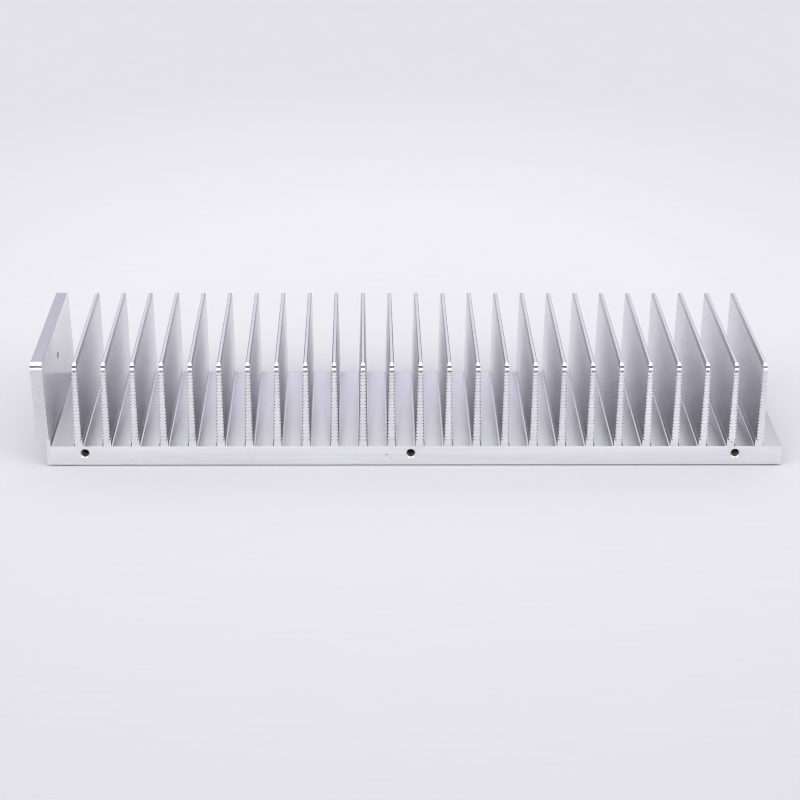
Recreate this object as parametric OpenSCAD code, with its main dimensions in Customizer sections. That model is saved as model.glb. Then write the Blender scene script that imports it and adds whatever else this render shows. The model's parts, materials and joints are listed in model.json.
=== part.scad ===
// Extruded heat sink for the side of an amplifier case.
// One length of aluminium extrusion: a flat base plate, a thick end wall and a comb of ridged fins.
// The cut ends are rounded at the top, milled back at the foot for a cover plate, and tapped.
// X runs along the row of fins, Y along the extrusion, Z from the flat mounting face up to the tips.

/* [Extrusion] */
// Length of the piece cut from the extrusion, along the fins
cut_l = 90; // [60:1:140]
// Overall height, from the mounting face to the fin tips
height = 47; // [38:0.5:70]
// Thickness of the base plate
base_t = 8.5; // [7.5:0.1:11]
// Radius that breaks the corners of the end wall and of the base plate
corner_r = 0.5; // [0.2:0.1:1]

/* [Fins] */
// Number of fins, without the end wall
fin_count = 25; // [4:1:30]
// Distance from the middle of one fin to the next
fin_pitch = 12; // [9:0.1:16]
// Thickness of a fin at its rounded tip
fin_tip_t = 1.7; // [1.4:0.1:2.6]
// Thickness of a fin where it meets the base plate
fin_root_t = 3.2; // [2.6:0.1:4.4]
// Radius of the fillet at the foot of a fin
fin_fillet = 0.6; // [0.3:0.1:1.8]
// Base plate beyond the middle of the last fin
end_margin = 10; // [7:0.5:20]

/* [Ridges on the fins] */
// Height of one ridge, measured up the flank
ridge_pitch = 1.46; // [1:0.02:3]
// Depth of a ridge, from its crest to the groove beside it
ridge_depth = 0.55; // [0.1:0.05:0.7]
// Smooth band below the ridges, above the base plate
ridge_foot = 4.3; // [3:0.1:8]
// Smooth band above the ridges, below the fin tip
ridge_head = 3.5; // [2.5:0.1:8]

/* [End wall] */
// Thickness of the end wall
wall_t = 5; // [4:0.1:8]
// Outward lean of the end wall in degrees
wall_lean = 1.6; // [0:0.1:3]
// How far the end wall hangs out over the edge of the base plate
wall_lip = 3.8; // [2:0.1:6]
// How much thicker the end wall is at its foot
wall_taper = 0.3; // [0:0.1:1]
// Distance from the outer face of the end wall, at its lip, to the middle of the first fin
wall_to_fin = 17.4; // [15:0.1:24]
// Radius of the fillet at the inner foot of the end wall
wall_fillet = 1.5; // [0.6:0.1:2.5]
// Diameter of the hole through the end wall
wall_hole_d = 3.4; // [2:0.1:5]
// Height of that hole above the mounting face
wall_hole_z = 33.4; // [20:0.1:35]

/* [Cut ends] */
// Radius of the rounding at both ends of every top edge
nose_r = 3.4; // [1:0.1:5]
// Depth of the seat milled into each end for a cover plate
seat_d = 2.7; // [1:0.1:5]
// Height of that seat, which is also the underside of the wall's lip
seat_h = 12.2; // [11.5:0.1:16]

/* [Tapped holes] */
// Diameter of the tapping drill
tap_drill_d = 3.3; // [2.5:0.1:4.2]
// Diameter of the chamfered mouth
tap_mouth_d = 4.3; // [4.3:0.1:5]
// Depth of the full bore
tap_depth = 14; // [8:1:25]
// Distance of the outer holes from each end of the heat sink
tap_inset = 19.8; // [12:0.1:30]
// Height of the holes above the mounting face
tap_z = 5.2; // [4:0.1:5.5]

/* [Hidden] */

$fn = 64;
aluminium = [0.80, 0.80, 0.84];
past = 1;                // how far a cut runs past the surface it opens
drill_point = 118;       // angle of the cone that a drill leaves

base_x0 = wall_lip;
base_x1 = wall_to_fin + (fin_count - 1) * fin_pitch + end_margin;
wall_shift = tan(wall_lean);               // sideways move of the wall for each unit of height
wall_top_x = -wall_shift * (height - seat_h);
wall_foot_x = wall_t + wall_taper + wall_shift * (seat_h - base_t);
middle_x = (wall_top_x + base_x1) / 2;

tip_z = height - fin_tip_t / 2;            // centre of the rounding on a fin tip
ridge_z0 = base_t + ridge_foot;
ridge_count = floor((height - ridge_head - ridge_z0) / ridge_pitch);
ridge_steps = 4;                           // straight pieces in the outline of one ridge
ridge_sunk = 0.6;                          // share of a ridge's depth that is cut below the taper

function mix(a, b, t) = a + (b - a) * t;

// Points on an arc about c, from angle a0 to a1 in n steps
function arc(c, r, a0, a1, n) =
    [for (k = [0:n]) c + r * [cos(mix(a0, a1, k / n)), sin(mix(a0, a1, k / n))]];

function mirrored(points) = [for (k = [len(points) - 1:-1:0]) [-points[k][0], points[k][1]]];

function moved(points, x) = [for (p = points) [p[0] + x, p[1]]];

// Half the thickness of a fin at height z, without its ridges
function half_t(z) = mix(fin_root_t, fin_tip_t, (z - base_t) / (tip_z - base_t)) / 2;

function fin_foot() =
    arc([fin_root_t / 2 + fin_fillet, base_t + fin_fillet], fin_fillet, 270, 180, 4);

// Rounded crests with sharp grooves between them, from a groove at the foot to one at the head
function ridges() =
    [for (k = [0:ridge_steps * ridge_count])
        let (z = ridge_z0 + k / ridge_steps * ridge_pitch,
             rise = sin(180 * (k % ridge_steps) / ridge_steps))
        [half_t(z) + ridge_depth * (rise - ridge_sunk), z]];

// Where a smooth band ends, a quarter of a ridge away from the nearest groove
function flank_at(z) = [[half_t(z), z]];

function fin_tip() = arc([0, tip_z], fin_tip_t / 2, 0, 90, 4);

function smooth_side() = concat(fin_foot(), fin_tip());
function ridged_side() = concat(
    fin_foot(),
    flank_at(ridge_z0 - ridge_pitch / 4),
    ridges(),
    flank_at(ridge_z0 + (ridge_count + 1 / 4) * ridge_pitch),
    fin_tip());

// Outline of one fin, from its right foot over the tip to its left foot
function fin(right_side) = concat(right_side, mirrored(ridged_side()));

// The outer side of the last fin carries no ridges
function fins() =
    [for (i = [fin_count - 1:-1:0])
        each moved(fin(i == fin_count - 1 ? smooth_side() : ridged_side()),
                   wall_to_fin + i * fin_pitch)];

function wall() = concat(
    arc([wall_foot_x + wall_fillet, base_t + wall_fillet], wall_fillet, 270, 180, 5),
    arc([wall_top_x + wall_t - corner_r, height - corner_r], corner_r, 0, 90, 3),
    arc([wall_top_x + corner_r, height - corner_r], corner_r, 90, 180, 3),
    [[0, seat_h], [base_x0, seat_h]]);

function base_end() = concat(
    [[base_x0, 0], [base_x1, 0]],
    arc([base_x1 - corner_r, base_t - corner_r], corner_r, 0, 90, 3));

// Cross-section of the extrusion, with the mounting face on the X axis
module section() {
    polygon(concat(base_end(), fins(), wall()));
}

module extrusion() {
    translate([0, cut_l, 0])
        rotate([90, 0, 0])
            linear_extrude(cut_l) section();
}

// What the end mill takes off the foot of one end, across the whole width
module cover_seat() {
    translate([wall_top_x - past, -past, -past])
        cube([base_x1 - wall_top_x + 2 * past, seat_d + past, seat_h + past]);
}

// What is taken off the top corner of one end to leave it round
module nose_cut() {
    width = base_x1 - wall_top_x + 2 * past;
    translate([wall_top_x - past, 0, height - nose_r])
        difference() {
            translate([0, -past, 0])
                cube([width, nose_r + past, nose_r + past]);
            translate([-past, nose_r, 0])
                rotate([0, 90, 0])
                    cylinder(r = nose_r, h = width + 2 * past);
        }
}

// Drilled hole with a chamfered mouth and a drill point, going in along +Y
module tapped_hole() {
    rotate([-90, 0, 0]) {
        translate([0, 0, -past])
            cylinder(d = tap_drill_d, h = tap_depth + past);
        cylinder(d1 = tap_mouth_d, d2 = tap_drill_d, h = (tap_mouth_d - tap_drill_d) / 2);
        translate([0, 0, tap_depth])
            cylinder(d1 = tap_drill_d, d2 = 0, h = tap_drill_d / 2 / tan(drill_point / 2));
    }
}

// Everything machined into the end at Y = 0
module end_cuts() {
    cover_seat();
    nose_cut();
    for (x = [tap_inset, base_x1 / 2, base_x1 - tap_inset])
        translate([x, seat_d, tap_z]) tapped_hole();
}

// The hole is drilled halfway along the wall
module wall_hole() {
    translate([wall_top_x - past, cut_l / 2, wall_hole_z])
        rotate([0, 90, 0])
            cylinder(d = wall_hole_d, h = wall_foot_x - wall_top_x + 2 * past);
}

module heat_sink() {
    color(aluminium)
        translate([-middle_x, -cut_l / 2, 0])
            difference() {
                extrusion();
                end_cuts();
                translate([0, cut_l, 0]) mirror([0, 1, 0]) end_cuts();
                wall_hole();
            }
}

heat_sink();
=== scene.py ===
import json
import math

import bmesh
import bpy
from mathutils import Matrix, Vector


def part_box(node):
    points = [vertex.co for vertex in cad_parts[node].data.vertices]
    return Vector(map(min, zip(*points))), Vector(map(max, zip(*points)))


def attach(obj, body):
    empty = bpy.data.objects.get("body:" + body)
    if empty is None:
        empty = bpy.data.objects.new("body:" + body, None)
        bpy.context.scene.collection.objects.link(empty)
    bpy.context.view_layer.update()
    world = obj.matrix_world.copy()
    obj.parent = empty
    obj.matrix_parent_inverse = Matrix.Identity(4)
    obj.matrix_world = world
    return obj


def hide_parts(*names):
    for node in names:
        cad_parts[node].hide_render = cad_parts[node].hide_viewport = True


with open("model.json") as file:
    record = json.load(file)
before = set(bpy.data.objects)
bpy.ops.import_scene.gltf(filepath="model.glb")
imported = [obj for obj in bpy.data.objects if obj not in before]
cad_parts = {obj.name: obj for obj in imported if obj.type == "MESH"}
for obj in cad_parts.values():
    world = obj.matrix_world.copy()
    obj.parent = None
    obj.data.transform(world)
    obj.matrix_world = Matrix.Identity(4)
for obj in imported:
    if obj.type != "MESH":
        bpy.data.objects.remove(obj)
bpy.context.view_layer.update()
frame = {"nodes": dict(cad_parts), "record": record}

# ---------------------------------------------------------------------------------------------
# The heat sink itself: one length of aluminium extrusion, sawn to length, milled and drilled.
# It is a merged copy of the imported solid, with its noses, bores and small edges refined. Each
# face gets the finish that its own step of the work left: die, saw, end mill, polish or drill.
# ---------------------------------------------------------------------------------------------
EXTRUDED, SAWN, MILLED, POLISHED, DRILLED, PIERCED, SMOOTH = range(7)

MM = 0.001
same_place = 1e-6
base_z = 8.5 * MM                # upper face of the base plate
fin_count = 25
fin_pitch = 12 * MM
last_fin_inset = 10 * MM         # from the middle of the last fin to the end of the base plate
foot_x = 2.2 * MM                # from the middle of a fin to where its fillet meets the base plate
foot_z = 9.1 * MM                # height of the top of that fillet
comb_inset = 8 * MM              # the end wall lies within this of the left side, the comb beyond it
nose_r = 3.4 * MM
tap_drill_r = 1.65 * MM
tap_mouth_r = 2.15 * MM
tap_chamfer = tap_mouth_r - tap_drill_r
tap_depth = 14 * MM
drill_point = math.radians(118)
wall_hole_r = 1.7 * MM
thread_r = 2 * MM                # the bores are opened to this, and the thread stands in from it
thread_start = 0.6 * MM          # just under the chamfer of the mouth
thread_depth = 12 * MM
thread_runout = 0.2 * MM         # the bore narrows to the drill's size over this depth

bore_reach = 1.3 * tap_drill_r   # a face whose middle is nearer to a hole's axis than this is in the hole
mouth_reach = 1.1 * tap_mouth_r
wall_hole_reach = 1.1 * wall_hole_r
tip_reach = 0.2 * tap_drill_r    # the tip of the drill point, which stays as it is
chord_reach = 0.97 * nose_r      # the coarse noses come no nearer to their axis than this
nose_step, bore_step = 7.5, 15   # degrees between the edges of a rounded surface
rim = 0.3 * MM                   # band round a sawn face in which its grooves show as dark nicks
streak = 0.15 * MM               # how far the streak at a fin's foot fades out over the base plate
streak_slope = math.radians(12.5)
wall_foot_keep = 0.4             # share of the fillet's radius that shows at the foot of the end wall
foot_break = 0.12 * MM           # small breaks on the lower and the upper edges of the base
lip_break = 0.15 * MM
corner = math.radians(60)        # an edge that turns further than this is a groove or a corner
crest_turn = math.radians(55)    # the top of a ridge is round up to this turn
soft_turn = math.radians(32)     # any other edge is shaded smooth up to this turn

mounts = {mount["name"]: mount for mount in frame["record"]["mounts"]}
low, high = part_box("heat_sink")
cut_y = high.y
top_z = high.z
seat_y = abs(mounts["front_taps_far"]["pos_m"][1])
tap_z = mounts["front_taps_far"]["pos_m"][2]
wall_hole = Vector(mounts["wall_hole"]["pos_m"])


def tapped_axes():
    """Places of the tapped holes along X, from the record's patterns."""
    xs = []
    for name in ("front_taps_near_wall", "front_taps_far"):
        mount = mounts[name]
        half = mount["dims"]["spacing_x_mm"] * MM / 2
        xs += [mount["pos_m"][0] - half, mount["pos_m"][0] + half]
    xs.sort()
    return [x for k, x in enumerate(xs) if k == 0 or x - xs[k - 1] > tap_drill_r]


tap_xs = tapped_axes()
fin_xs = [high.x - last_fin_inset - k * fin_pitch for k in range(fin_count)]


def finish_of(face):
    """Which step of the work left this face as it is."""
    centre = face.calc_center_median()
    from_tap = min(math.hypot(centre.x - x, centre.z - tap_z) for x in tap_xs)
    if from_tap < bore_reach and abs(centre.y) < seat_y - same_place:
        return DRILLED if abs(centre.y) < seat_y - tap_chamfer else MILLED
    if abs(face.normal.y) > 0.999:
        return SAWN if abs(centre.y) > cut_y - same_place else MILLED
    if abs(face.normal.y) > 0.05 and centre.z > top_z - nose_r:
        return POLISHED
    if abs(centre.y) > seat_y and face.normal.z < -0.9 and centre.z < top_z / 2:
        return MILLED
    if (centre - wall_hole).yz.length < wall_hole_reach:
        return PIERCED
    if face.normal.x > 0.99 and centre.x < low.x + comb_inset:
        return SMOOTH
    return EXTRUDED


def cut_by(bm, faces, point, normal):
    """Cut some faces by a plane; returns them with the new ones."""
    parts = set(faces)
    geom = list(parts) + list({e for f in parts for e in f.edges} | {v for f in parts for v in f.verts})
    cut = bmesh.ops.bisect_plane(bm, geom=geom, dist=1e-7, plane_co=point, plane_no=normal)
    return [part for part in cut["geom"] if isinstance(part, bmesh.types.BMFace)]


def turned(bm, faces, point, axis, step):
    """Cut faces that lie round an axis by planes through it, a step in degrees apart."""
    across = axis.orthogonal()
    for k in range(round(180 / step)):
        normal = Matrix.Rotation(math.radians(k * step), 3, axis) @ across
        faces = cut_by(bm, faces, point, normal)
    return faces


def bore_radius(depth):
    """Radius that a tapped hole gets at a depth below its seat: chamfer, thread, drill, drill point."""
    if depth < tap_chamfer + same_place:
        return tap_mouth_r - depth
    if depth < thread_depth + same_place:
        return thread_r
    return tap_drill_r - max(0, depth - tap_depth) * math.tan(drill_point / 2)


def on_slope(face):
    """True on the flanks of the ridges, which are neither upright nor level."""
    return abs(face.normal.y) < 0.1 and 0.2 < abs(face.normal.z) < 0.9


body = bpy.data.objects.new("finned_extrusion", frame["nodes"]["heat_sink"].data.copy())
bpy.context.scene.collection.objects.link(body)
body.data.materials.clear()

bm = bmesh.new()
bm.from_mesh(body.data)
bmesh.ops.remove_doubles(bm, verts=bm.verts, dist=same_place)
for face in bm.faces:
    face.material_index = finish_of(face)

# The noses and the holes come from the pack in coarse steps, so they are divided and rounded.
for end in (-1, 1):
    point = Vector((0, end * (cut_y - nose_r), top_z - nose_r))
    nose = [f for f in bm.faces if f.material_index == POLISHED and f.calc_center_median().y * end > 0]
    nose = turned(bm, nose, point, Vector((1, 0, 0)), nose_step)
    for vert in {v for f in nose for v in f.verts}:
        out = Vector((0, vert.co.y - point.y, vert.co.z - point.z))
        if chord_reach < out.length < nose_r:
            vert.co += out * (nose_r / out.length - 1)
    inward = Vector((0, -end, 0))
    for x in tap_xs:
        point = Vector((x, end * seat_y, tap_z))
        bore = [f for f in bm.faces if 0 < seat_y - f.calc_center_median().y * end < seat_y
                and (f.calc_center_median() - point).xz.length < mouth_reach]
        for depth in (thread_start, thread_depth, thread_depth + thread_runout):
            bore = cut_by(bm, bore, point + inward * depth, inward)
        bore = turned(bm, bore, point, inward, bore_step)
        for vert in {v for f in bore for v in f.verts}:
            depth = (vert.co - point).dot(inward)
            out = Vector((vert.co.x - x, 0, vert.co.z - tap_z))
            if out.length > tip_reach:
                vert.co = point + inward * depth + out.normalized() * bore_radius(depth)
bore = [f for f in bm.faces if f.material_index == PIERCED]
bore = turned(bm, bore, wall_hole, Vector((1, 0, 0)), bore_step)
for vert in {v for f in bore for v in f.verts}:
    out = Vector((0, vert.co.y - wall_hole.y, vert.co.z - wall_hole.z))
    vert.co += out * (wall_hole_r / out.length - 1)

# Painted shade: a dark nick wherever a groove comes out of a sawn face, and the groove itself is painted darker
# too.
sawn_faces = [f for f in bm.faces if f.material_index == SAWN]
bmesh.ops.inset_region(bm, faces=sawn_faces, thickness=rim, use_even_offset=True, use_boundary=True)
for vert in {v for f in bm.faces if f.material_index == SAWN for v in f.verts}:
    vert.co.y = math.copysign(cut_y, vert.co.y)
bm.normal_update()
groove = bm.verts.layers.float.new("groove")
for edge in bm.edges:
    if len(edge.link_faces) == 2 and all(on_slope(f) for f in edge.link_faces):
        if edge.calc_face_angle_signed(0) < -corner:
            for vert in edge.verts:
                vert[groove] = 1

# The die leaves a bright, slightly sloping streak along every foot, in place of a full fillet.
streaked = bm.verts.layers.float.new("streak")
channels = [f for f in bm.faces if f.normal.z > 0.99 and abs(f.calc_center_median().z - base_z) < same_place]
for x in fin_xs:
    for side in (-1, 1):
        channels = cut_by(bm, channels, Vector((x + side * (foot_x + streak), 0, 0)), Vector((1, 0, 0)))
for vert in bm.verts:
    aside = min(abs(vert.co.x - x) for x in fin_xs)
    if base_z - same_place < vert.co.z < foot_z - same_place and aside < foot_x + same_place:
        vert[streaked] = 1
        vert.co.z = min(vert.co.z, base_z + (foot_x - aside) * math.tan(streak_slope))

# The fillet at the foot of the end wall is drawn in towards the corner.
smooth_verts = [v for f in bm.faces if f.material_index == SMOOTH for v in f.verts]
wall_foot = min(smooth_verts, key=lambda v: v.co.z).co.copy()
for vert in bm.verts:
    up, out = vert.co.z - base_z, vert.co.x - wall_foot.x
    if all(-same_place < d < wall_foot.z - base_z + same_place for d in (up, out)):
        vert.co.z, vert.co.x = base_z + wall_foot_keep * up, wall_foot.x + wall_foot_keep * out

# The sharp lower and upper edges of the base are broken a little.
breaks = {foot_break: [], lip_break: []}
for edge in bm.edges:
    if len(edge.link_faces) != 2 or edge.calc_face_angle_signed(0) < corner:
        continue
    ups = sorted(f.normal.z for f in edge.link_faces)
    highest = max(v.co.z for v in edge.verts)
    if ups[0] < -0.9 and abs(ups[1]) < 0.3 and highest < same_place:
        breaks[foot_break].append(edge)
    elif ups[1] > 0.9 and abs(ups[0]) < 0.1 and highest < top_z / 4:
        if all(abs(abs(v.co.y) - seat_y) < same_place for v in edge.verts):
            breaks[lip_break].append(edge)
for width, edges in breaks.items():
    bmesh.ops.bevel(bm, geom=edges, offset=width, segments=2, profile=0.5, affect="EDGES",
                    clamp_overlap=True, material=-1)
bm.normal_update()

for face in bm.faces:
    face.smooth = True
for edge in bm.edges:
    angle = edge.calc_face_angle_signed(math.pi)
    crest = all(on_slope(f) for f in edge.link_faces) and 0 < angle < crest_turn
    edge.smooth = crest or abs(angle) < soft_turn
bmesh.ops.triangulate(bm, faces=[f for f in bm.faces if len(f.verts) > 4])
bm.to_mesh(body.data)
bm.free()


def metal(name, colour, roughness):
    material = bpy.data.materials.new(name)
    material.use_nodes = True
    shader = material.node_tree.nodes["Principled BSDF"]
    shader.inputs["Base Color"].default_value = (*colour, 1)
    shader.inputs["Metallic"].default_value = 1
    shader.inputs["Roughness"].default_value = roughness
    return material


def put(material, value, socket):
    """Link the value to the socket, or set it there when it is plain."""
    if isinstance(value, bpy.types.NodeSocket):
        material.node_tree.links.new(value, socket)
    else:
        socket.default_value = value


def add(material, kind, **values):
    """A node with its settings, and with its sockets by their names, with _ for each space."""
    node = material.node_tree.nodes.new(kind)
    for name, value in values.items():
        socket = node.inputs.get(name.replace("_", " "))
        if socket is None:
            setattr(node, name, value)
        else:
            put(material, value, socket)
    return node


def own_place(material):
    """Each point's place on the object."""
    return add(material, "ShaderNodeTexCoord").outputs["Object"]


def axes(material, place):
    """The X, Y and Z of a place."""
    return add(material, "ShaderNodeSeparateXYZ", Vector=place).outputs


def mesh_value(material, name):
    """A value that the mesh carries at its points."""
    return add(material, "ShaderNodeAttribute", attribute_name=name).outputs["Fac"]


def grain(material, size, detail=3.0, seed=0.0):
    """Noise in the object's own place, about so many metres long along X, Y and Z."""
    scaled = add(material, "ShaderNodeMapping", Vector=own_place(material), Location=(seed, seed, seed),
                 Scale=tuple(1 / s for s in size)).outputs["Vector"]
    return add(material, "ShaderNodeTexNoise", Vector=scaled, Scale=1.0, Detail=detail).outputs["Fac"]


def between(material, value, start, end, first, last):
    """The value's stretch from start to end, brought to first to last and held there beyond it."""
    return add(material, "ShaderNodeMapRange", Value=value, From_Min=start, From_Max=end,
               To_Min=first, To_Max=last).outputs["Result"]


def rising(material, value, start, end):
    """0 up to the start, 1 from the end on."""
    return between(material, value, start, end, 0.0, 1.0)


def falling(material, value, start, end):
    """1 up to the start, 0 from the end on."""
    return between(material, value, start, end, 1.0, 0.0)


def spread(material, noise, first, last):
    """Noise, whose values mostly lie from 0.3 to 0.7, brought to first to last."""
    return between(material, noise, 0.3, 0.7, first, last)


def reckon(material, operation, a, b):
    """Arithmetic on two values, each a socket or a number."""
    node = add(material, "ShaderNodeMath", operation=operation)
    put(material, a, node.inputs[0])
    put(material, b, node.inputs[1])
    return node.outputs["Value"]


def product(material, first, *others):
    """The product of all these values: 1 where each of these areas is 1."""
    for other in others:
        first = reckon(material, "MULTIPLY", first, other)
    return first


def shade(material, colour, factor):
    """The colour made darker or lighter by a factor that varies over the surface."""
    return add(material, "ShaderNodeVectorMath", operation="SCALE", Vector=colour,
               Scale=factor).outputs["Vector"]


def toned(material, colour, area, factor):
    """The colour times this factor where the area is 1."""
    return shade(material, colour, between(material, area, 0.0, 1.0, 1.0, factor))


def tint(material, colour, other, factor):
    """The colour turned towards another one by a factor that varies over the surface."""
    return add(material, "ShaderNodeMix", data_type="RGBA", Factor=factor, A=colour,
               B=(*other, 1)).outputs["Result"]


def steps(material, value, start, end, stops):
    """A tone that follows the value through stops given in millimetres."""
    ramp = add(material, "ShaderNodeValToRGB", Fac=rising(material, value, start, end))
    elements = ramp.color_ramp.elements
    elements.remove(elements[1])
    for k, (at, tone) in enumerate(stops):
        share = (at * MM - start) / (end - start)
        element = elements[0] if k == 0 else elements.new(share)
        element.position, element.color = share, (tone, tone, tone, 1)
    return ramp.outputs["Color"]


def relief(material, height, depth, below=None):
    """A bump of so many metres between the values 0 and 1 of the height."""
    node = add(material, "ShaderNodeBump", Height=height, Distance=depth, Strength=1.0)
    if below is not None:
        put(material, below, node.inputs["Normal"])
    return node.outputs["Normal"]


def finish(material, colour, roughness=None, normal=None):
    """Bring the finished colour, roughness and relief to the surface."""
    shader = material.node_tree.nodes["Principled BSDF"]
    for name, socket in (("Base Color", colour), ("Roughness", roughness), ("Normal", normal)):
        if socket is not None:
            put(material, socket, shader.inputs[name])


def mark(material, centre, size, angle=0.0, wander=None):
    """1 at the centre of an upright spot or scratch of this half length and half width, 0 beyond it."""
    place = own_place(material)
    if wander is not None:
        drawn = add(material, "ShaderNodeVectorMath", operation="ADD")
        put(material, place, drawn.inputs[0])
        put(material, wander, drawn.inputs[1])
        place = drawn.outputs["Vector"]
    moved = add(material, "ShaderNodeMapping", vector_type="TEXTURE", Vector=place, Location=centre,
                Rotation=(0, angle, 0), Scale=(size[0], 5 * MM, size[1])).outputs["Vector"]
    return add(material, "ShaderNodeTexGradient", gradient_type="SPHERICAL", Vector=moved).outputs["Fac"]


# Extruded skin: die lines along the length, a little cloudy and specked, with painted shade at the
# bottom of each groove.
skin_tone = (0.90, 0.90, 0.918)
skin = metal("extruded_skin", skin_tone, 0.32)
die_lines = grain(skin, (0.5 * MM, 60 * MM, 0.5 * MM), 4.0)
clouds = grain(skin, (14 * MM, 30 * MM, 14 * MM), 2.0, 3.0)
specks = grain(skin, (0.9 * MM, 0.9 * MM, 0.9 * MM), 1.0, 7.0)
colour = shade(skin, skin_tone, spread(skin, die_lines, 0.965, 1.02))
colour = shade(skin, colour, spread(skin, clouds, 0.975, 1.015))
colour = shade(skin, colour, between(skin, specks, 0.7, 0.76, 1.0, 0.86))
# painted shade at the bottom of each groove
colour = toned(skin, colour, mesh_value(skin, "groove"), 0.9)

# Painted shade: the top of the end wall, the shelf beyond the last fin and the channel beside the wall are
# darkened.
# Each limit of such an area is where its edge starts to fade and where it ends.
comb_from_x = low.x + comb_inset, low.x + comb_inset + 0.1 * MM
base_to_z = base_z + 0.5 * MM, base_z + 1 * MM
wall_top_to_x = low.x + 6 * MM, low.x + 7 * MM
wall_top_from_z = top_z - 0.4 * MM, top_z - 0.2 * MM
shelf_from_x = high.x - 8.8 * MM, high.x - 8.2 * MM
first_channel_to_x = low.x + 17 * MM, low.x + 18 * MM
at = axes(skin, own_place(skin))
in_comb = rising(skin, at["X"], *comb_from_x)
at_base = falling(skin, at["Z"], *base_to_z)
wall_top_shade = product(skin, falling(skin, at["X"], *wall_top_to_x), rising(skin, at["Z"], *wall_top_from_z))
shelf_shade = product(skin, rising(skin, at["X"], *shelf_from_x), at_base)
first_channel_shade = product(skin, falling(skin, at["X"], *first_channel_to_x), at_base)
colour = toned(skin, colour, wall_top_shade, 0.66)
colour = toned(skin, colour, shelf_shade, 0.74)

# Painted shade darkens the smooth band at the top of a fin, with a painted highlight along its
# lower edge. A tone of 0.8 leaves the colour as it is, less darkens it and more lightens it. Beyond the comb it
# is 1.
tip_light_and_shade = ((43.2, 0.8), (43.5, 1.0), (44.1, 1.0), (44.3, 0.35), (45.8, 0.3), (46.5, 0.1),
             (46.72, 0.15), (46.82, 0.8), (47.0, 0.8))
tone = steps(skin, at["Z"], 43 * MM, top_z, tip_light_and_shade)
tone = product(skin, in_comb, between(skin, tone, 0.0, 1.0, -1.0, 0.0))
tone = between(skin, tone, -1.0, 0.0, 0.0, 1.0)
colour = shade(skin, colour, between(skin, tone, 0.8, 1.0, 1.0, 1.1))
colour = shade(skin, colour, between(skin, tone, 0.0, 0.8, 0.45, 1.0))

# The smooth band below the ridges gets painted shade, a little darker, and the streak at the foot is polished.
band_from_z = foot_z, foot_z + 0.3 * MM
band_to_z = 11.5 * MM, 12.8 * MM
band_to_x = high.x - last_fin_inset, high.x - last_fin_inset + 1 * MM
foot_band_shade = product(skin, in_comb, falling(skin, at["Z"], *band_to_z), falling(skin, at["X"], *band_to_x),
                    rising(skin, at["Z"], *band_from_z))
streak_polish_and_shade = rising(skin, mesh_value(skin, "streak"), 0.3, 0.9)
colour = toned(skin, colour, foot_band_shade, 0.86)
# painted shade in the channel beside the end wall
colour = toned(skin, colour, first_channel_shade, 0.72)
# painted shade along the streak at each fin's foot
colour = toned(skin, colour, streak_polish_and_shade, 0.84)
dull = product(skin, spread(skin, die_lines, 0.29, 0.35), between(skin, streak_polish_and_shade, 0.0, 1.0, 1.0, 0.42))
finish(skin, colour, dull, relief(skin, die_lines, 0.004 * MM))

# The inner face of the end wall ran over a smoother part of the die: sharper in its reflections,
# under a faint milky skin of oxide.
wall_tone = (0.85, 0.845, 0.87)
smooth = metal("smooth_wall_face", wall_tone, 0.14)
smooth.node_tree.nodes["Principled BSDF"].inputs["Metallic"].default_value = 0.68
smooth.node_tree.nodes["Principled BSDF"].inputs["Specular IOR Level"].default_value = 0
long_lines = grain(smooth, (0.5 * MM, 80 * MM, 0.6 * MM), 3.0, 1.0)
haze = grain(smooth, (9 * MM, 16 * MM, 9 * MM), 2.0, 5.0)
colour = shade(smooth, wall_tone, spread(smooth, long_lines, 0.96, 1.02))
colour = shade(smooth, colour, spread(smooth, haze, 0.97, 1.02))
finish(smooth, colour, spread(smooth, haze, 0.12, 0.16), relief(smooth, long_lines, 0.002 * MM))

# Sawn ends: a mottled, sparkling cut with fine lines across it and a nick of painted shade at each
# groove, a little darker on the end wall, with a painted highlight on the fins just before the last one.
sawn_tone = (0.85, 0.845, 0.87)
sawn = metal("saw_cut", sawn_tone, 0.45)
mottle = grain(sawn, (0.8 * MM, 0.8 * MM, 0.8 * MM), 2.0)
lines = grain(sawn, (14 * MM, 14 * MM, 0.4 * MM), 3.0, 2.0)
cuts = grain(sawn, (12 * MM, 50 * MM, 30 * MM), 1.0, 8.0)
colour = shade(sawn, sawn_tone, between(sawn, mottle, 0.35, 0.65, 0.94, 1.04))
colour = shade(sawn, colour, spread(sawn, lines, 0.92, 1.05))
colour = shade(sawn, colour, between(sawn, cuts, 0.35, 0.65, 0.96, 1.05))
colour = shade(sawn, colour, between(sawn, mesh_value(sawn, "groove"), 0.0, 0.9, 1.0, 0.36))
painted_highlight_fins_from_x = high.x - 75 * MM, high.x - 62 * MM
painted_highlight_fins_to_x = high.x - 18 * MM, high.x - 14 * MM
across = axes(sawn, own_place(sawn))["X"]
painted_highlight_fins = product(sawn, rising(sawn, across, *painted_highlight_fins_from_x),
                      falling(sawn, across, *painted_highlight_fins_to_x))
colour = shade(sawn, colour, between(sawn, across, low.x + 7 * MM, low.x + comb_inset, 0.88, 1.0))
# painted highlight on the fins just before the last one
colour = toned(sawn, colour, painted_highlight_fins, 1.1)
finish(sawn, colour, between(sawn, mottle, 0.35, 0.65, 0.5, 0.4),
       relief(sawn, mottle, 0.012 * MM, relief(sawn, lines, 0.015 * MM)))

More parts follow.
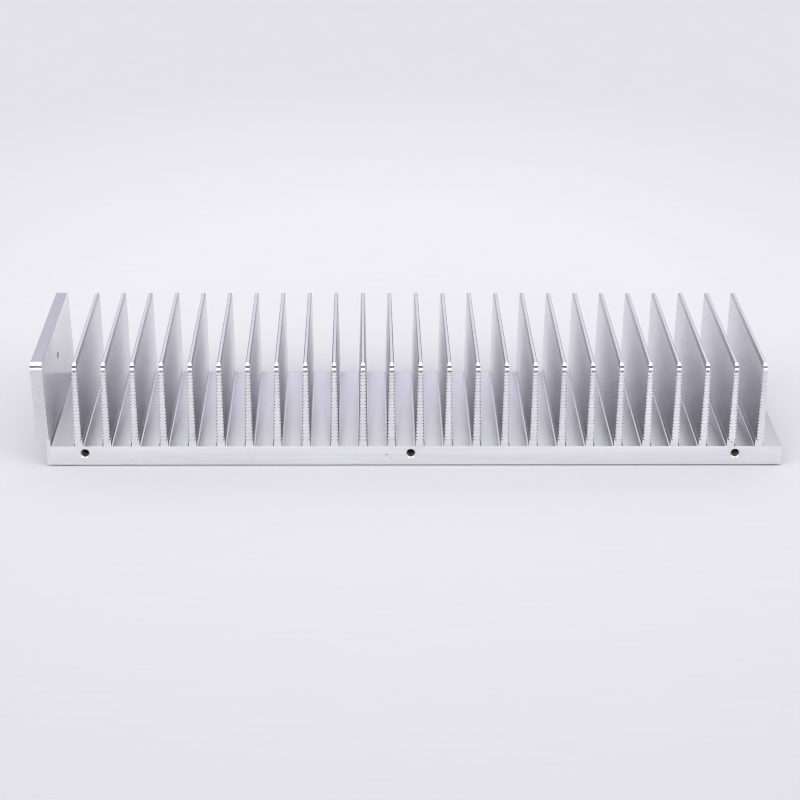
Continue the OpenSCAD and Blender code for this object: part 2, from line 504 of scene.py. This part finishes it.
# Milled seats: fine cutter lines along X, a few scratches from handling, two specks of red paint.
milled_tone = (0.87, 0.87, 0.885)
paint = (0.62, 0.22, 0.2)
scratches = (                    # x, z, half length, half width in mm; angle; share of the colour that is left
    (-67.5, 3.9, 4.2, 0.18, 0.9, 0.84),
    (-66.0, 3.0, 2.8, 0.15, 0.7, 0.88),
    (-22.8, 4.4, 4.0, 0.17, 1.05, 0.86),
    (-24.6, 3.0, 2.0, 0.16, 1.2, 0.88),
    (-9.9, 4.5, 1.1, 0.3, 0.1, 0.5),
    (-8.0, 2.8, 1.9, 0.2, 0.8, 0.72),
    (71.0, 3.1, 2.6, 0.16, -0.4, 0.85),
    (33.0, 5.9, 3.4, 0.14, 0.25, 0.88),
    (-118.0, 2.2, 3.0, 0.15, -0.3, 0.86),
)
paint_specks = ((-9.3, 10.1, 0.5), (136.6, 10.4, 0.45))      # x, z, radius in mm
milled = metal("milled_seat", milled_tone, 0.46)
cutter = grain(milled, (28 * MM, 28 * MM, 0.16 * MM), 4.0)
bands = grain(milled, (60 * MM, 60 * MM, 1.6 * MM), 2.0, 5.0)
unsteady_hand = grain(milled, (4 * MM, 4 * MM, 4 * MM), 2.0, 9.0)
wander = shade(milled, (1, 0, 1), between(milled, unsteady_hand, 0.0, 1.0, -0.6 * MM, 0.6 * MM))
colour = shade(milled, milled_tone, spread(milled, cutter, 0.94, 1.04))
colour = shade(milled, colour, spread(milled, bands, 0.97, 1.03))
for x, z, half_length, half_width, angle, share in scratches:
    scratch = mark(milled, (x * MM, -seat_y, z * MM), (half_length * MM, half_width * MM), angle, wander)
    colour = shade(milled, colour, between(milled, scratch, 0.0, 0.6, 1.0, share))
for x, z, radius in paint_specks:
    speck = mark(milled, (x * MM, -seat_y, z * MM), (radius * MM, radius * MM))
    colour = tint(milled, colour, paint, between(milled, speck, 0.0, 0.5, 0.0, 0.75))
finish(milled, colour, spread(milled, cutter, 0.42, 0.5), relief(milled, cutter, 0.006 * MM))

# Polished noses: bright, with fine lines across, a wavy surface, and a line of painted shade where the polish
# ends.
polish_tone = (0.93, 0.93, 0.945)
polish = metal("polished_nose", polish_tone, 0.08)
waves = grain(polish, (5 * MM, 5 * MM, 5 * MM), 1.0)
rub = grain(polish, (4 * MM, 0.2 * MM, 0.2 * MM), 2.0, 4.0)
unsteady_edge = grain(polish, (7 * MM, 7 * MM, 7 * MM), 0.0, 6.0)
polish_end_z = top_z - nose_r, top_z - nose_r + 0.45 * MM
up = axes(polish, own_place(polish))["Z"]
polish_end_shade = product(polish, falling(polish, up, *polish_end_z),
                     between(polish, unsteady_edge, 0.42, 0.6, 0.2, 1.0))
colour = shade(polish, polish_tone, spread(polish, rub, 0.97, 1.02))
colour = toned(polish, colour, polish_end_shade, 0.65)
finish(polish, colour, spread(polish, rub, 0.06, 0.11), relief(polish, waves, 0.12 * MM))

# Drilled and tapped bores: painted shade makes them dark, with a little brown from the cutting oil.
drilled_oil_and_shade_tone = (0.085, 0.072, 0.063)
drilled = metal("drilled_bore", drilled_oil_and_shade_tone, 0.36)
rings = grain(drilled, (1.2 * MM, 0.25 * MM, 1.2 * MM), 2.0)
colour = shade(drilled, drilled_oil_and_shade_tone, spread(drilled, rings, 0.75, 1.1))
finish(drilled, colour, spread(drilled, rings, 0.3, 0.42), relief(drilled, rings, 0.02 * MM))

# The hole through the end wall: bright turned metal with a brown tint of cutting oil.
pierced_tone = (0.62, 0.42, 0.28)
pierced = metal("pierced_hole", pierced_tone, 0.41)
turnings = grain(pierced, (0.2 * MM, 1.5 * MM, 1.5 * MM), 2.0)
colour = shade(pierced, pierced_tone, spread(pierced, turnings, 0.8, 1.1))
finish(pierced, colour, spread(pierced, turnings, 0.35, 0.48), relief(pierced, turnings, 0.02 * MM))

for material in (skin, sawn, milled, polish, drilled, pierced, smooth):
    body.data.materials.append(material)
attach(body, "root")
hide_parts("heat_sink")

# ---------------------------------------------------------------------------------------------
# The threads: an M4 thread cut by a tap in each of the six bores, as a ridge that winds inward
# from the widened bore, with its flanks at the usual angle and its crest at the drill's size.
# ---------------------------------------------------------------------------------------------
thread_pitch = 0.7 * MM
crest_w, root_w = 0.14 * MM, 0.6 * MM
root_sunk = 0.02 * MM            # the ridge's root stands this far into the metal round it
turn_steps = 24                  # steps in one turn
turn_count = int((thread_depth - thread_start - thread_pitch) / thread_pitch)

bm = bmesh.new()
root_r = thread_r + root_sunk
outline = ((root_r, -root_w / 2), (root_r, root_w / 2), (tap_drill_r, crest_w / 2), (tap_drill_r, -crest_w / 2))
ridge = bm.faces.new([bm.verts.new((0, along, radius)) for radius, along in outline])
bmesh.ops.spin(bm, geom=[ridge, *ridge.edges, *ridge.verts], cent=(0, 0, 0), axis=(0, 1, 0),
               angle=2 * math.pi * turn_count, steps=turn_steps * turn_count,
               dvec=(0, thread_pitch / turn_steps, 0))
first_x = tap_xs[0]
bmesh.ops.translate(bm, verts=bm.verts, vec=(first_x, thread_start + thread_pitch / 2 - seat_y, tap_z))
first_thread = bm.verts[:] + bm.edges[:] + bm.faces[:]
for x in tap_xs[1:]:
    copied = bmesh.ops.duplicate(bm, geom=first_thread)["geom"]
    copied_verts = [part for part in copied if isinstance(part, bmesh.types.BMVert)]
    bmesh.ops.translate(bm, verts=copied_verts, vec=(x - first_x, 0, 0))
# The rear end's threads are the front's, mirrored, so they wind the other way.
bmesh.ops.mirror(bm, geom=bm.verts[:] + bm.edges[:] + bm.faces[:], axis="Y", merge_dist=0)
bmesh.ops.recalc_face_normals(bm, faces=bm.faces)
for face in bm.faces:
    face.smooth = True
for edge in bm.edges:
    edge.smooth = edge.calc_face_angle(math.pi) < soft_turn
thread_mesh = bpy.data.meshes.new("tapped_threads")
bm.to_mesh(thread_mesh)
bm.free()
threads = bpy.data.objects.new("tapped_threads", thread_mesh)
bpy.context.scene.collection.objects.link(threads)

# The threads are painted dark: painted shade inside the bores, a little brown.
tapped_oil_and_shade_tone = (0.12, 0.098, 0.082)
tapped = metal("tapped_thread", tapped_oil_and_shade_tone, 0.35)
chatter = grain(tapped, (0.5 * MM, 0.5 * MM, 0.5 * MM), 2.0)
colour = shade(tapped, tapped_oil_and_shade_tone, spread(tapped, chatter, 0.8, 1.1))
finish(tapped, colour, spread(tapped, chatter, 0.3, 0.4), relief(tapped, chatter, 0.02 * MM))
thread_mesh.materials.append(tapped)
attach(threads, "root")

# ---------------------------------------------------------------------------------------------
# The floor: a pale sweep that the heat sink lies on, with a painted pool of light. It isn't part of the object.
# The base touches it only here and there, so it lies a little lower and shows a dark line.
# ---------------------------------------------------------------------------------------------
floor_r = 6
floor_gap = 0.65 * MM
floor_tone = (0.755, 0.75, 0.775)
pool_place, pool_size = (0, 0.15, 0), (0.42, 0.48, 0.6)      # where the light falls brightest

bm = bmesh.new()
bmesh.ops.create_circle(bm, cap_ends=True, segments=96, radius=floor_r)
floor_mesh = bpy.data.meshes.new("floor")
bm.to_mesh(floor_mesh)
bm.free()
floor = bpy.data.objects.new("floor", floor_mesh)
floor.location.z = -floor_gap
bpy.context.scene.collection.objects.link(floor)
paper = bpy.data.materials.new("pale_floor")
paper.use_nodes = True
floor_shader = paper.node_tree.nodes["Principled BSDF"]
floor_shader.inputs["Roughness"].default_value = 0.9
floor_shader.inputs["Specular IOR Level"].default_value = 0
fibres = grain(paper, (30 * MM, 2.5 * MM, 2.5 * MM), 3.0)
about_pool = add(paper, "ShaderNodeMapping", vector_type="TEXTURE", Vector=own_place(paper),
                 Location=pool_place, Scale=pool_size).outputs["Vector"]
painted_light_pool = add(paper, "ShaderNodeTexGradient", gradient_type="SPHERICAL", Vector=about_pool).outputs["Fac"]
# painted pool of light on the floor
colour = shade(paper, floor_tone, between(paper, painted_light_pool, 0.0, 0.65, 0.965, 1.10))
finish(paper, shade(paper, colour, spread(paper, fibres, 0.99, 1.005)))
floor_mesh.materials.append(paper)

# ---------------------------------------------------------------------------------------------
# The light: a studio tent of white cloth. A roof hangs over the object and a panel stands before
# it, with a dim slot between them, and behind it the tent is a cooler grey. Two soft lamps shine
# from the front left and the front right.
# ---------------------------------------------------------------------------------------------
tent_arch = (                     # degrees up from the horizon behind, over the top, to the front
    (0, (0.71, 0.69, 0.82)),
    (30, (0.77, 0.75, 0.88)),
    (40, (0.84, 0.83, 0.92)),
    (50, (1.10, 1.10, 1.12)),
    (118, (1.10, 1.10, 1.12)),
    (122, (0.10, 0.10, 0.14)),
    (142, (0.10, 0.10, 0.14)),
    (146, (1.10, 1.10, 1.12)),
    (176, (1.00, 1.00, 1.02)),
    (180, (0.90, 0.90, 0.92)),
)
tent_side = (0.66, 0.66, 0.69)    # left and right ends of the tent
side_from, side_to = 0.3, 0.55    # how far sideways a direction points where the end wall starts
lamp_aside, lamp_up = math.radians(50), math.radians(40)     # from straight in front, to each side and up
lamp_inner, lamp_outer = 16, 27   # degrees from a lamp's middle to where its light starts to fall, and ends
lamp_light = (1.5, 1.5, 1.5)

scene = bpy.context.scene
tent = bpy.data.worlds.new("studio_tent")
scene.world = tent
tent.use_nodes = True
tent_light = tent.node_tree.nodes["Background"]
tent_light.inputs["Strength"].default_value = 1.0

towards = axes(tent, add(tent, "ShaderNodeTexCoord").outputs["Generated"])
climb = reckon(tent, "ARCTAN2", towards["Z"], towards["Y"])
arch = add(tent, "ShaderNodeValToRGB", Fac=reckon(tent, "DIVIDE", climb, math.pi))
stops = arch.color_ramp.elements
stops[0].position, stops[0].color = 0, (*tent_arch[0][1], 1)
stops[1].position, stops[1].color = 1, (*tent_arch[-1][1], 1)
for degrees, colour in tent_arch[1:-1]:
    stops.new(degrees / 180).color = (*colour, 1)
sideways = add(tent, "ShaderNodeMath", operation="ABSOLUTE", Value=towards["X"]).outputs["Value"]
ends = rising(tent, sideways, side_from, side_to)
tent_colour = tint(tent, arch.outputs["Color"], tent_side, ends)

# Both lamps at once: the left side is folded over to the right.
folded = add(tent, "ShaderNodeCombineXYZ", X=sideways, Y=towards["Y"], Z=towards["Z"]).outputs["Vector"]
facing = add(tent, "ShaderNodeVectorMath", operation="DOT_PRODUCT")
put(tent, folded, facing.inputs[0])
put(tent, (math.sin(lamp_aside) * math.cos(lamp_up), -math.cos(lamp_aside) * math.cos(lamp_up),
           math.sin(lamp_up)), facing.inputs[1])
lamps = add(tent, "ShaderNodeMapRange", interpolation_type="SMOOTHSTEP", Value=facing.outputs["Value"],
            From_Min=math.cos(math.radians(lamp_outer)), From_Max=math.cos(math.radians(lamp_inner)))
lit = add(tent, "ShaderNodeMix", data_type="RGBA", blend_type="ADD", Factor=lamps.outputs["Result"],
          A=tent_colour, B=(*lamp_light, 1))
put(tent, lit.outputs["Result"], tent_light.inputs["Color"])

# ---------------------------------------------------------------------------------------------
# The camera: a long lens a little above the object, square to its long side.
# ---------------------------------------------------------------------------------------------
camera_data = bpy.data.cameras.new("camera")
camera_data.sensor_width = 36
camera_data.lens = 98.86
camera = bpy.data.objects.new("camera", camera_data)
scene.collection.objects.link(camera)
camera_place = Vector((-0.020175, -0.893143, 0.385161))
camera_pitch = math.radians(22.668)
camera_yaw = math.radians(1.070)
camera_roll = math.radians(0.394)
camera.matrix_world = (
    Matrix.Translation(camera_place)
    @ Matrix.Rotation(-camera_yaw, 4, "Z")
    @ Matrix.Rotation(math.pi / 2 - camera_pitch, 4, "X")
    @ Matrix.Rotation(camera_roll, 4, "Z")
)
scene.camera = camera
scene.view_settings.view_transform = "Standard"
scene.cycles.denoising_prefilter = "NONE"        # keeps the fine teeth of the fins
scene.cycles.filter_width = 1.0
